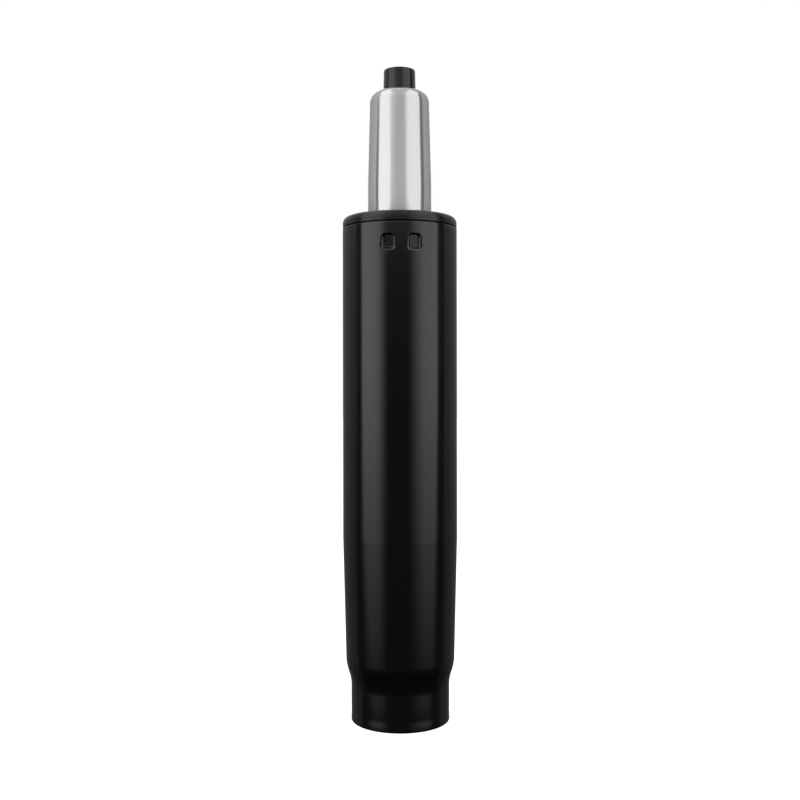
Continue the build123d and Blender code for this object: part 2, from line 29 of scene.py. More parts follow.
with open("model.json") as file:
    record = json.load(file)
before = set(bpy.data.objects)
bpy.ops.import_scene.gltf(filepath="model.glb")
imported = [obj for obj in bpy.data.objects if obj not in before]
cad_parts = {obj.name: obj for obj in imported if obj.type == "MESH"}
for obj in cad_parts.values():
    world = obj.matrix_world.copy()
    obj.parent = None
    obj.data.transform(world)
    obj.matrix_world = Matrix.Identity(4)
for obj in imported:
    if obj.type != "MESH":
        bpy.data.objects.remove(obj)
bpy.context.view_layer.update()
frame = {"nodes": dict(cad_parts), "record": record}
scene = bpy.context.scene
print("gas lift: frame loaded,", len(frame["nodes"]), "nodes")

mm = 0.001
weld = 0.000002          # metres; vertices nearer than this are one
speck = 0.000001         # metres; an edge shorter than this is dropped
taperSlope = 0.0250992   # of both cones, half angle 1 degree 26 minutes 16 seconds

# camera
cameraLook = {
    "distance": 467 * mm,       # from the lift's axis
    "height": 147 * mm,
    "azimuth": -1.5,            # degrees, towards -X
    "roll": 0.085,
    "sideStep": 0.03 * mm,
    "lens": 47.86,
    "sensor": 36,
    "shiftY": -0.021,
    "near": 0.01, "far": 20,    # metres, what the camera sees between
}


def placeCamera(look):
    turn = math.radians(look["azimuth"])
    data = bpy.data.cameras.new("photoCamera")
    data.lens = look["lens"]
    data.sensor_width = look["sensor"]
    data.shift_y = look["shiftY"]
    data.clip_start = look["near"]
    data.clip_end = look["far"]
    camera = bpy.data.objects.new("photoCamera", data)
    scene.collection.objects.link(camera)
    camera.location = (
        math.sin(turn) * look["distance"] + math.cos(turn) * look["sideStep"],
        -math.cos(turn) * look["distance"] + math.sin(turn) * look["sideStep"],
        look["height"],
    )
    camera.rotation_euler = (math.pi / 2, math.radians(look["roll"]), turn)
    scene.camera = camera


placeCamera(cameraLook)
scene.view_settings.view_transform = "Standard"


# node helpers
def newNode(tree, kind, **settings):
    node = tree.nodes.new(kind)
    for key, value in settings.items():
        setattr(node, key, value)
    return node


def feed(tree, socket, value):  # a socket is linked, anything else is set
    if isinstance(value, bpy.types.NodeSocket):
        tree.links.new(value, socket)
    else:
        socket.default_value = value


def calc(tree, operation, *values, clamp=False):
    node = newNode(tree, "ShaderNodeMath", operation=operation, use_clamp=clamp)
    for socket, value in zip(node.inputs, values):
        feed(tree, socket, value)
    return node.outputs[0]


def ramp(tree, value, low, high, toLow=0.0, toHigh=1.0, smooth=True):
    kind = "SMOOTHSTEP" if smooth else "LINEAR"
    node = newNode(tree, "ShaderNodeMapRange", interpolation_type=kind)
    names = ("Value", "From Min", "From Max", "To Min", "To Max")
    for name, part in zip(names, (value, low, high, toLow, toHigh)):
        feed(tree, node.inputs[name], part)
    return node.outputs["Result"]


def hypotenuse(tree, a, b):
    squares = [calc(tree, "MULTIPLY", side, side) for side in (a, b)]
    return calc(tree, "SQRT", calc(tree, "ADD", *squares))


def blendValue(tree, factor, first, second):
    node = newNode(tree, "ShaderNodeMix", data_type="FLOAT")
    feed(tree, node.inputs[0], factor)
    feed(tree, node.inputs[2], first)
    feed(tree, node.inputs[3], second)
    return node.outputs[0]


def blendColour(tree, factor, first, second, how="MIX"):
    node = newNode(tree, "ShaderNodeMix", data_type="RGBA", blend_type=how)
    feed(tree, node.inputs[0], factor)
    feed(tree, node.inputs[6], first)
    feed(tree, node.inputs[7], second)
    return node.outputs[2]


# turned shells
def sectionPoints(corners, run, ease=0.12, steps=8):  # corners are (radius, height, fillet) in mm
    points = []
    count = len(corners)
    ends = []
    for i, (r, z, fillet) in enumerate(corners):
        if fillet <= 0 or i in (0, count - 1):
            ends.append([(r, z)])
            continue
        before, after = corners[i - 1], corners[i + 1]
        a = math.atan2(before[1] - z, before[0] - r)
        b = math.atan2(after[1] - z, after[0] - r)
        turn = (b - a + math.pi) % (2 * math.pi) - math.pi
        half = abs(turn) / 2
        reach = fillet / math.tan(half)
        middle = a + turn / 2
        centre = (
            r + math.cos(middle) * fillet / math.sin(half),
            z + math.sin(middle) * fillet / math.sin(half),
        )
        start = (r + math.cos(a) * reach, z + math.sin(a) * reach)
        end = (r + math.cos(b) * reach, z + math.sin(b) * reach)
        first = math.atan2(start[1] - centre[1], start[0] - centre[0])
        last = math.atan2(end[1] - centre[1], end[0] - centre[0])
        sweep = (last - first + math.pi) % (2 * math.pi) - math.pi
        turns = [first + sweep * s / steps for s in range(steps + 1)]
        ends.append([
            (centre[0] + fillet * math.cos(t), centre[1] + fillet * math.sin(t)) for t in turns
        ])
    for i, corner in enumerate(ends):
        points.extend(corner)
        if i + 1 < len(ends):
            start, end = corner[-1], ends[i + 1][0]
            length = math.dist(start, end)
            if length > 3 * ease:
                cuts = max(1, round((length - 2 * ease) / run))
                for s in range(cuts + 1):
                    share = (ease + (length - 2 * ease) * s / cuts) / length
                    points.append((
                        start[0] + (end[0] - start[0]) * share,
                        start[1] + (end[1] - start[1]) * share,
                    ))
    return points


def arcPoints(centre, radius, first, last, steps):  # degrees, in the section's plane
    return [
        (
            centre[0] + radius * math.cos(math.radians(first + (last - first) * s / steps)),
            centre[1] + radius * math.sin(math.radians(first + (last - first) * s / steps)),
        )
        for s in range(steps + 1)
    ]


def lineObject(name, points):  # a string of vertices that a tree samples
    mesh = bpy.data.meshes.new(name)
    mesh.from_pydata(points, [(i, i + 1) for i in range(len(points) - 1)], [])
    line = bpy.data.objects.new(name, mesh)
    scene.collection.objects.link(line)
    return line


def evenColumns(count):
    return [360 * i / count for i in range(count + 1)]


socketKinds = {
    "geometry": "NodeSocketGeometry", "object": "NodeSocketObject", "number": "NodeSocketFloat",
    "count": "NodeSocketInt", "material": "NodeSocketMaterial",
}


def addSockets(tree, direction, **sockets):
    for name, kind in sockets.items():
        tree.interface.new_socket(name=name, in_out=direction, socket_type=socketKinds[kind])


def endTree(tree, geometry, material, groupOut):
    realize = newNode(tree, "GeometryNodeRealizeInstances")
    paint = newNode(tree, "GeometryNodeSetMaterial")
    feed(tree, realize.inputs[0], geometry)
    feed(tree, paint.inputs["Geometry"], realize.outputs[0])
    feed(tree, paint.inputs["Material"], material)
    feed(tree, groupOut.inputs[0], paint.outputs[0])


def makeTurnedShellTree():  # the section swept round the axis, at each column's angle
    tree = bpy.data.node_groups.new("turnedShell", "GeometryNodeTree")
    addSockets(tree, "INPUT", Section="object", Columns="object", Finish="material")
    addSockets(tree, "OUTPUT", Shell="geometry")
    groupIn = newNode(tree, "NodeGroupInput")
    groupOut = newNode(tree, "NodeGroupOutput")
    lines = {}
    for name in ("Section", "Columns"):
        info = newNode(tree, "GeometryNodeObjectInfo")
        size = newNode(tree, "GeometryNodeAttributeDomainSize")
        feed(tree, info.inputs["Object"], groupIn.outputs[name])
        feed(tree, size.inputs[0], info.outputs["Geometry"])
        lines[name] = (info.outputs["Geometry"], size.outputs["Point Count"])
    grid = newNode(tree, "GeometryNodeMeshGrid")
    feed(tree, grid.inputs["Vertices X"], lines["Columns"][1])
    feed(tree, grid.inputs["Vertices Y"], lines["Section"][1])
    index = newNode(tree, "GeometryNodeInputIndex").outputs[0]
    rowCount = lines["Section"][1]
    column = calc(tree, "FLOOR", calc(tree, "DIVIDE", calc(tree, "ADD", index, 0.5), rowCount))
    row = calc(tree, "SUBTRACT", index, calc(tree, "MULTIPLY", column, rowCount))
    place = newNode(tree, "GeometryNodeInputPosition").outputs[0]
    sampled = {}
    for name, which in (("Section", row), ("Columns", column)):
        sample = newNode(tree, "GeometryNodeSampleIndex", data_type="FLOAT_VECTOR", domain="POINT")
        split = newNode(tree, "ShaderNodeSeparateXYZ")
        feed(tree, sample.inputs["Geometry"], lines[name][0])
        feed(tree, sample.inputs["Value"], place)
        feed(tree, sample.inputs["Index"], which)
        feed(tree, split.inputs[0], sample.outputs[0])
        sampled[name] = split.outputs
    angle, radius = sampled["Columns"]["X"], sampled["Section"]["X"]
    join = newNode(tree, "ShaderNodeCombineXYZ")
    feed(tree, join.inputs["X"], calc(tree, "MULTIPLY", radius, calc(tree, "COSINE", angle)))
    feed(tree, join.inputs["Y"], calc(tree, "MULTIPLY", radius, calc(tree, "SINE", angle)))
    feed(tree, join.inputs["Z"], sampled["Section"]["Z"])
    move = newNode(tree, "GeometryNodeSetPosition")
    feed(tree, move.inputs["Geometry"], grid.outputs["Mesh"])
    feed(tree, move.inputs["Position"], join.outputs[0])
    close = newNode(tree, "GeometryNodeMergeByDistance")
    feed(tree, close.inputs["Geometry"], move.outputs[0])
    feed(tree, close.inputs["Distance"], weld)
    endTree(tree, close.outputs[0], groupIn.outputs["Finish"], groupOut)
    return tree


def roundedBoxDistance(tree, across, up, width, height, corner):  # below zero inside
    halfWidth = calc(tree, "SUBTRACT", calc(tree, "DIVIDE", width, 2.0), corner)
    halfHeight = calc(tree, "SUBTRACT", calc(tree, "DIVIDE", height, 2.0), corner)
    pastSide = calc(tree, "SUBTRACT", across, halfWidth)
    pastEnd = calc(tree, "SUBTRACT", calc(tree, "ABSOLUTE", up), halfHeight)
    outSide = calc(tree, "MAXIMUM", pastSide, 0.0)
    outEnd = calc(tree, "MAXIMUM", pastEnd, 0.0)
    outside = hypotenuse(tree, outSide, outEnd)
    nearest = calc(tree, "MINIMUM", calc(tree, "MAXIMUM", pastSide, pastEnd), 0.0)
    return calc(tree, "SUBTRACT", calc(tree, "ADD", outside, nearest), corner)


crimpMeasures = (
    "Angle", "Level", "Outside", "Floor Distance", "Width", "Taper", "Height", "Top Corner",
    "Bottom Corner", "Floor Width", "Floor Height", "Floor Rise", "Floor Corner", "Wall Curve",
)


def makeCrimpTree():  # flat-floored pockets in the outer wall, two in front and two behind
    tree = bpy.data.node_groups.new("pressedCrimps", "GeometryNodeTree")
    addSockets(tree, "INPUT", Shell="geometry")
    addSockets(tree, "INPUT", **{name: "number" for name in crimpMeasures})
    addSockets(tree, "INPUT", Finish="material")
    addSockets(tree, "OUTPUT", Shell="geometry")
    groupIn = newNode(tree, "NodeGroupInput")
    groupOut = newNode(tree, "NodeGroupOutput")
    size = {name: groupIn.outputs[name] for name in crimpMeasures}
    split = newNode(tree, "ShaderNodeSeparateXYZ")
    feed(tree, split.inputs[0], newNode(tree, "GeometryNodeInputPosition").outputs[0])
    x, y, z = split.outputs
    radius = hypotenuse(tree, x, y)
    fromMiddle = calc(tree, "ARCTAN2", calc(tree, "ABSOLUTE", x), calc(tree, "ABSOLUTE", y))
    turned = calc(tree, "ABSOLUTE", calc(tree, "SUBTRACT", fromMiddle, size["Angle"]))
    up = calc(tree, "SUBTRACT", z, size["Level"])
    across = calc(tree, "MULTIPLY", turned, radius)
    tapered = calc(tree, "ADD", across, calc(tree, "MULTIPLY", up, size["Taper"]))
    isUpper = calc(tree, "GREATER_THAN", up, 0.0)
    corner = blendValue(tree, isUpper, size["Bottom Corner"], size["Top Corner"])
    mouth = roundedBoxDistance(tree, tapered, up, size["Width"], size["Height"], corner)
    intoMouth = calc(tree, "MAXIMUM", calc(tree, "MULTIPLY", mouth, -1.0), 0.0)
    raised = calc(tree, "SUBTRACT", up, size["Floor Rise"])
    flat = [size["Floor " + name] for name in ("Width", "Height", "Corner")]
    toFloor = calc(tree, "MAXIMUM", roundedBoxDistance(tree, across, raised, *flat), 0.0)
    whole = calc(tree, "ADD", calc(tree, "ADD", intoMouth, toFloor), speck)
    downWall = calc(tree, "DIVIDE", intoMouth, whole)
    depthShare = calc(tree, "POWER", downWall, size["Wall Curve"])
    floor = calc(tree, "DIVIDE", size["Floor Distance"], calc(tree, "COSINE", turned))
    pressed = calc(tree, "MULTIPLY", calc(tree, "SUBTRACT", radius, floor), depthShare)
    outer = calc(tree, "GREATER_THAN", radius, size["Outside"])
    moved = calc(tree, "DIVIDE", calc(tree, "MULTIPLY", pressed, outer), radius)
    share = calc(tree, "SUBTRACT", 1.0, moved)
    join = newNode(tree, "ShaderNodeCombineXYZ")
    feed(tree, join.inputs["X"], calc(tree, "MULTIPLY", x, share))
    feed(tree, join.inputs["Y"], calc(tree, "MULTIPLY", y, share))
    feed(tree, join.inputs["Z"], z)
    move = newNode(tree, "GeometryNodeSetPosition")
    feed(tree, move.inputs["Geometry"], groupIn.outputs["Shell"])
    feed(tree, move.inputs["Position"], join.outputs[0])
    endTree(tree, move.outputs[0], groupIn.outputs["Finish"], groupOut)
    return tree


def makeRibTree():  # flat ribs that stand round a sleeve
    tree = bpy.data.node_groups.new("sleeveRibs", "GeometryNodeTree")
    addSockets(tree, "INPUT", Count="count", Inside="number", Outside="number")
    addSockets(tree, "INPUT", Thickness="number", Bottom="number", Top="number")
    addSockets(tree, "INPUT", Finish="material")
    addSockets(tree, "OUTPUT", Ribs="geometry")
    groupIn = newNode(tree, "NodeGroupInput")
    groupOut = newNode(tree, "NodeGroupOutput")
    size = groupIn.outputs
    ring = newNode(tree, "GeometryNodeMeshCircle")
    feed(tree, ring.inputs["Vertices"], size["Count"])
    across = calc(tree, "DIVIDE", calc(tree, "ADD", size["Inside"], size["Outside"]), 2.0)
    feed(tree, ring.inputs["Radius"], across)
    lift = newNode(tree, "GeometryNodeSetPosition")
    offset = newNode(tree, "ShaderNodeCombineXYZ")
    middle = calc(tree, "DIVIDE", calc(tree, "ADD", size["Bottom"], size["Top"]), 2.0)
    feed(tree, offset.inputs["Z"], middle)
    feed(tree, lift.inputs["Geometry"], ring.outputs[0])
    feed(tree, lift.inputs["Offset"], offset.outputs[0])
    rib = newNode(tree, "GeometryNodeMeshCube")
    measure = newNode(tree, "ShaderNodeCombineXYZ")
    feed(tree, measure.inputs["X"], calc(tree, "SUBTRACT", size["Outside"], size["Inside"]))
    feed(tree, measure.inputs["Y"], size["Thickness"])
    feed(tree, measure.inputs["Z"], calc(tree, "SUBTRACT", size["Top"], size["Bottom"]))
    feed(tree, rib.inputs["Size"], measure.outputs[0])
    turn = newNode(tree, "ShaderNodeCombineXYZ")
    index = newNode(tree, "GeometryNodeInputIndex").outputs[0]
    step = calc(tree, "DIVIDE", 2 * math.pi, size["Count"])
    feed(tree, turn.inputs["Z"], calc(tree, "MULTIPLY", index, step))
    spread = newNode(tree, "GeometryNodeInstanceOnPoints")
    feed(tree, spread.inputs["Points"], lift.outputs[0])
    feed(tree, spread.inputs["Instance"], rib.outputs["Mesh"])
    feed(tree, spread.inputs["Rotation"], turn.outputs[0])
    endTree(tree, spread.outputs[0], size["Finish"], groupOut)
    return tree


turnedShell = makeTurnedShellTree()
pressedCrimps = makeCrimpTree()
sleeveRibs = makeRibTree()


def growPiece(name, *layers):  # each layer is a tree and its inputs by name
    piece = bpy.data.objects.new(name, bpy.data.meshes.new(name))
    scene.collection.objects.link(piece)
    for tree, inputs in layers:
        modifier = piece.modifiers.new(tree.name, "NODES")
        modifier.node_group = tree
        given = [item for item in tree.interface.items_tree if item.in_out == "INPUT"]
        sockets = {item.name: item.identifier for item in given}
        for key, value in inputs.items():
            modifier[sockets[key]] = value
    bpy.context.view_layer.update()
    depsgraph = bpy.context.evaluated_depsgraph_get()
    grown = bpy.data.meshes.new_from_object(piece.evaluated_get(depsgraph))
    piece.modifiers.clear()
    piece.data = grown
    return piece


def finishMesh(piece, sharp=50):  # closed, outward and smooth but for its real edges
    tidy = bmesh.new()
    tidy.from_mesh(piece.data)
    bmesh.ops.remove_doubles(tidy, verts=tidy.verts, dist=weld)
    bmesh.ops.dissolve_degenerate(tidy, edges=tidy.edges, dist=speck)
    bmesh.ops.recalc_face_normals(tidy, faces=tidy.faces)
    for face in tidy.faces:
        face.smooth = True
    tidy.to_mesh(piece.data)
    tidy.free()
    piece.data.set_sharp_from_angle(angle=math.radians(sharp))
    piece.data.update()
    print("  ", piece.name, len(piece.data.polygons), "faces")
    return piece


def turnPiece(name, section, columns, finish, *more):
    sectionLine = lineObject(name + "Section", [(r * mm, 0, z * mm) for r, z in section])
    columnLine = lineObject(name + "Columns", [(math.radians(a), 0, 0) for a in columns])
    layers = [(turnedShell, {"Section": sectionLine, "Columns": columnLine, "Finish": finish})]
    piece = growPiece(name, *layers, *more)
    for line in (sectionLine, columnLine):
        bpy.data.meshes.remove(line.data)
    return piece


def joinPieces(first, *others):
    with bpy.context.temp_override(active_object=first, selected_editable_objects=[first, *others]):
        bpy.ops.object.join()
    return first


# surface effects
def effectGroup(name, inputs, outputs):
    tree = bpy.data.node_groups.new(name, "ShaderNodeTree")
    for key, value in inputs.items():
        socket = tree.interface.new_socket(name=key, in_out="INPUT", socket_type="NodeSocketFloat")
        socket.default_value = value
    for key in outputs:
        tree.interface.new_socket(name=key, in_out="OUTPUT", socket_type="NodeSocketFloat")
    return tree, newNode(tree, "NodeGroupInput").outputs, newNode(tree, "NodeGroupOutput").inputs


def stretchedNoise(tree, scale, stretch, detail, roughness):  # stretch scales x, y and z
    coords = newNode(tree, "ShaderNodeTexCoord")
    squeeze = newNode(tree, "ShaderNodeMapping")
    noise = newNode(tree, "ShaderNodeTexNoise")
    feed(tree, squeeze.inputs["Vector"], coords.outputs["Object"])
    feed(tree, squeeze.inputs["Scale"], stretch)
    feed(tree, noise.inputs["Vector"], squeeze.outputs[0])
    feed(tree, noise.inputs["Scale"], scale)
    feed(tree, noise.inputs["Detail"], detail)
    feed(tree, noise.inputs["Roughness"], roughness)
    return noise.outputs["Fac"]


def aroundOne(tree, noise, amount):
    swing = calc(tree, "MULTIPLY", calc(tree, "SUBTRACT", noise, 0.5), amount)
    return calc(tree, "ADD", 1.0, swing)


def makeGrainGroup():  # fine skin of powder coat, moulded plastic or rubber
    inputs = {"Grain Size": 1600.0, "Unevenness": 0.05}
    tree, given, out = effectGroup("fineGrain", inputs, ("Height", "Mottle"))
    fine = stretchedNoise(tree, given["Grain Size"], (1, 1, 1), detail=4.0, roughness=0.55)
    broad = stretchedNoise(tree, scale=60.0, stretch=(1, 1, 0.35), detail=4.0, roughness=0.6)
    feed(tree, out["Height"], fine)
    feed(tree, out["Mottle"], aroundOne(tree, broad, given["Unevenness"]))
    return tree


groundMix = {"wide": 0.6, "drawn": 0.4}  # shares of the rings and of the lengthwise streaks


def makeGroundGroup():  # the hair-fine rings that grinding and turning leave
    inputs = {"Ring Scale": 9000.0, "Streaks": 0.08}
    tree, given, out = effectGroup("groundRings", inputs, ("Height", "Streak"))
    flat = (0.004, 0.004, 1)
    rings = stretchedNoise(tree, given["Ring Scale"], flat, detail=2.0, roughness=0.6)
    wide = stretchedNoise(tree, scale=900.0, stretch=(0.03, 0.03, 1), detail=3.0, roughness=0.65)
    drawn = stretchedNoise(tree, scale=700.0, stretch=(1, 1, 0.02), detail=2.0, roughness=0.5)
    wideShare = calc(tree, "MULTIPLY", wide, groundMix["wide"])
    drawnShare = calc(tree, "MULTIPLY", drawn, groundMix["drawn"])
    both = calc(tree, "ADD", wideShare, drawnShare)
    feed(tree, out["Height"], rings)
    feed(tree, out["Streak"], aroundOne(tree, both, given["Streaks"]))
    return tree


scuffs = {"lineWidth": 0.006, "zoneStart": 0.58, "zoneFull": 0.7}


def makeScuffGroup():  # sparse fine scratches, from handling
    inputs = {"Amount": 0.3, "Scratch Scale": 260.0}
    tree, given, out = effectGroup("handlingMarks", inputs, ("Mark",))
    long = (1, 1, 0.12)
    thin = stretchedNoise(tree, given["Scratch Scale"], long, detail=6.0, roughness=0.7)
    place = stretchedNoise(tree, scale=45.0, stretch=(1, 1, 1), detail=2.0, roughness=0.5)
    fromLine = calc(tree, "ABSOLUTE", calc(tree, "SUBTRACT", thin, 0.5))
    line = ramp(tree, fromLine, 0.0, scuffs["lineWidth"], 1.0, 0.0)
    zone = ramp(tree, place, scuffs["zoneStart"], scuffs["zoneFull"])
    mark = calc(tree, "MULTIPLY", line, zone)
    feed(tree, out["Mark"], calc(tree, "MULTIPLY", mark, given["Amount"], clamp=True))
    return tree


fineGrain = makeGrainGroup()
groundRings = makeGroundGroup()
handlingMarks = makeScuffGroup()
print("surface effects built")


# finishes
def newFinish(name):
    material = bpy.data.materials.new(name)
    material.use_nodes = True
    tree = material.node_tree
    return material, tree, tree.nodes["Principled BSDF"]


def useEffect(tree, effect, **values):
    node = newNode(tree, "ShaderNodeGroup", node_tree=effect)
    for key, value in values.items():
        node.inputs[key].default_value = value
    return node.outputs


def bumpFrom(tree, shader, height, distance, strength=1.0):
    bump = newNode(tree, "ShaderNodeBump")
    feed(tree, bump.inputs["Height"], height)
    feed(tree, bump.inputs["Distance"], distance)
    feed(tree, bump.inputs["Strength"], strength)
    feed(tree, shader.inputs["Normal"], bump.outputs[0])


def scaledColour(tree, colour, factor):
    scale = newNode(tree, "ShaderNodeVectorMath", operation="SCALE")
    feed(tree, scale.inputs[0], colour)
    feed(tree, scale.inputs["Scale"], factor)
    return scale.outputs[0]


markRoughness = 0.15  # that a handling mark adds


def coatedFinish(name, look):  # powder coat, plastic and rubber
    material, tree, shader = newFinish(name)
    skin = {"Grain Size": look["grainSize"], "Unevenness": look["unevenness"]}
    grain = useEffect(tree, fineGrain, **skin)
    marks = useEffect(tree, handlingMarks, Amount=look["marks"])
    tone = scaledColour(tree, look["colour"], grain["Mottle"])
    marked = blendColour(tree, marks["Mark"], tone, (*look["markColour"], 1))
    feed(tree, shader.inputs["Base Color"], marked)
    worn = calc(tree, "MULTIPLY", grain["Mottle"], look["roughness"])
    rubbed = look["roughness"] + markRoughness
    feed(tree, shader.inputs["Roughness"], blendValue(tree, marks["Mark"], worn, rubbed))
    shader.inputs["IOR"].default_value = look["ior"]
    bumpFrom(tree, shader, grain["Height"], look["grainDepth"] * mm)
    return material


def metalFinish(name, look):
    material, tree, shader = newFinish(name)
    ground = {"Ring Scale": look["ringScale"], "Streaks": look["streaks"]}
    rings = useEffect(tree, groundRings, **ground)
    marks = useEffect(tree, handlingMarks, Amount=look["marks"])
    tone = scaledColour(tree, look["colour"], rings["Streak"])
    marked = blendColour(tree, marks["Mark"], tone, (*look["markColour"], 1))
    feed(tree, shader.inputs["Base Color"], marked)
    worn = calc(tree, "MULTIPLY", rings["Streak"], look["roughness"])
    feed(tree, shader.inputs["Roughness"], worn)
    shader.inputs["Metallic"].default_value = 1.0
    shader.inputs["Coat Weight"].default_value = look["coat"]
    shader.inputs["Coat Roughness"].default_value = look["coatRoughness"]
    shader.inputs["Coat IOR"].default_value = look["coatIor"]
    bumpFrom(tree, shader, rings["Height"], look["ringDepth"] * mm)
    return material


coatedLooks = {
    "black_powder_coat": {
        "colour": (0.0045, 0.0045, 0.0046), "roughness": 0.14, "ior": 1.5, "grainSize": 900.0,
        "grainDepth": 0.0015, "unevenness": 0.15, "marks": 0.1, "markColour": (0.03, 0.03, 0.03),
    },
    "black_plastic": {
        "colour": (0.006, 0.006, 0.0062), "roughness": 0.25, "ior": 1.41, "grainSize": 2200.0,
        "grainDepth": 0.004, "unevenness": 0.3, "marks": 0.2, "markColour": (0.05, 0.05, 0.05),
    },
    "button_plastic": {
        "colour": (0.014, 0.014, 0.0145), "roughness": 0.09, "ior": 1.43, "grainSize": 1800.0,
        "grainDepth": 0.003, "unevenness": 0.2, "marks": 0.15, "markColour": (0.05, 0.05, 0.05),
    },
    "rubber": {
        "colour": (0.018, 0.018, 0.018), "roughness": 0.72, "ior": 1.42, "grainSize": 1400.0,
        "grainDepth": 0.006, "unevenness": 0.5, "marks": 0.1, "markColour": (0.06, 0.06, 0.06),
    },
    "white_plastic": {
        "colour": (0.72, 0.71, 0.67), "roughness": 0.42, "ior": 1.45, "grainSize": 1500.0,
        "grainDepth": 0.004, "unevenness": 0.12, "marks": 0.15, "markColour": (0.5, 0.49, 0.46),
    },
}
bareMetal = {"coat": 0.0, "coatRoughness": 0.1, "coatIor": 1.5}
metalLooks = {
    "bright_steel": {
        "colour": (0.34, 0.34, 0.34), "roughness": 0.6, "ringScale": 5200.0, "ringDepth": 0.0004,
        "streaks": 0.1, "marks": 0.2, "markColour": (0.45, 0.45, 0.45), "coat": 1.0,
        "coatRoughness": 0.05, "coatIor": 3.4,
    },
    "polished_steel": {
        "colour": (0.66, 0.66, 0.67), "roughness": 0.1, "ringScale": 6000.0, "ringDepth": 0.0003,
        "streaks": 0.1, "marks": 0.1, "markColour": (0.5, 0.5, 0.5), **bareMetal,
    },
    "hardened_steel": {
        "colour": (0.4, 0.4, 0.41), "roughness": 0.3, "ringScale": 4000.0, "ringDepth": 0.001,
        "streaks": 0.3, "marks": 0.3, "markColour": (0.25, 0.25, 0.25), **bareMetal,
    },
    "zinc_plated_steel": {
        "colour": (0.55, 0.57, 0.6), "roughness": 0.34, "ringScale": 2600.0, "ringDepth": 0.001,
        "streaks": 0.35, "marks": 0.35, "markColour": (0.4, 0.41, 0.43), **bareMetal,
    },
    "aluminium": {
        "colour": (0.68, 0.69, 0.7), "roughness": 0.36, "ringScale": 3000.0, "ringDepth": 0.0015,
        "streaks": 0.25, "marks": 0.2, "markColour": (0.5, 0.5, 0.5), **bareMetal,
    },
    "brass": {
        "colour": (0.7, 0.5, 0.2), "roughness": 0.25, "ringScale": 3500.0, "ringDepth": 0.001,
        "streaks": 0.2, "marks": 0.2, "markColour": (0.45, 0.32, 0.14), **bareMetal,
    },
}
finishes = {name: coatedFinish(name, look) for name, look in coatedLooks.items()}
finishes.update({name: metalFinish(name, look) for name, look in metalLooks.items()})

slotOf = {row["node"]: row["material_slot"] for row in frame["record"]["subparts"]}
for node, piece in frame["nodes"].items():
    for place in piece.material_slots:
        place.material = finishes[slotOf[node]]
print("finishes given to", len(slotOf), "nodes")


def standIn(piece, node, body):  # a finished piece takes its node's place
    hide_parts(node)
    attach(piece, body)


# stand tube
standTube = {
    "radius": 25.0, "height": 215.0, "wall": 1.5, "topEdge": 0.4,
    "seam": 0.3,                          # shadow gap under the bush's flange
    "coneTop": 80.0, "coneFoot": 27.5, "footRadius": 21.41, "neckTurn": 20.0,
    "waist": 0.07, "waistHeight": 4.9,    # how far the foot band draws in, and where
    "waistTop": 11.0, "waistCurve": 1.8,  # where it starts to, and how
    "flare": 0.03, "flareHeight": 1.2,    # how far it opens again at the rim, and where
    "bandRows": 42, "footRows": (3.0, 9.0), "boreRows": (140.0, 212.0),
    "rimRoll": 0.5, "rimOpening": 17.0, "rimLand": 0.2, "rimEdge": 0.45, "rimInnerEdge": 0.4,
    "crimpAngle": 13.2, "crimpLevel": 206.0, "crimpDepth": 1.4,
    "crimpTop": 211.0, "crimpBottom": 201.1,
    "crimpRows": 54, "firstRow": 210.8, "rowsHeight": 9.6,
    "crimpSpan": 8.8, "crimpStep": 0.32, "plainStep": 1.8,  # degrees round the tube
}


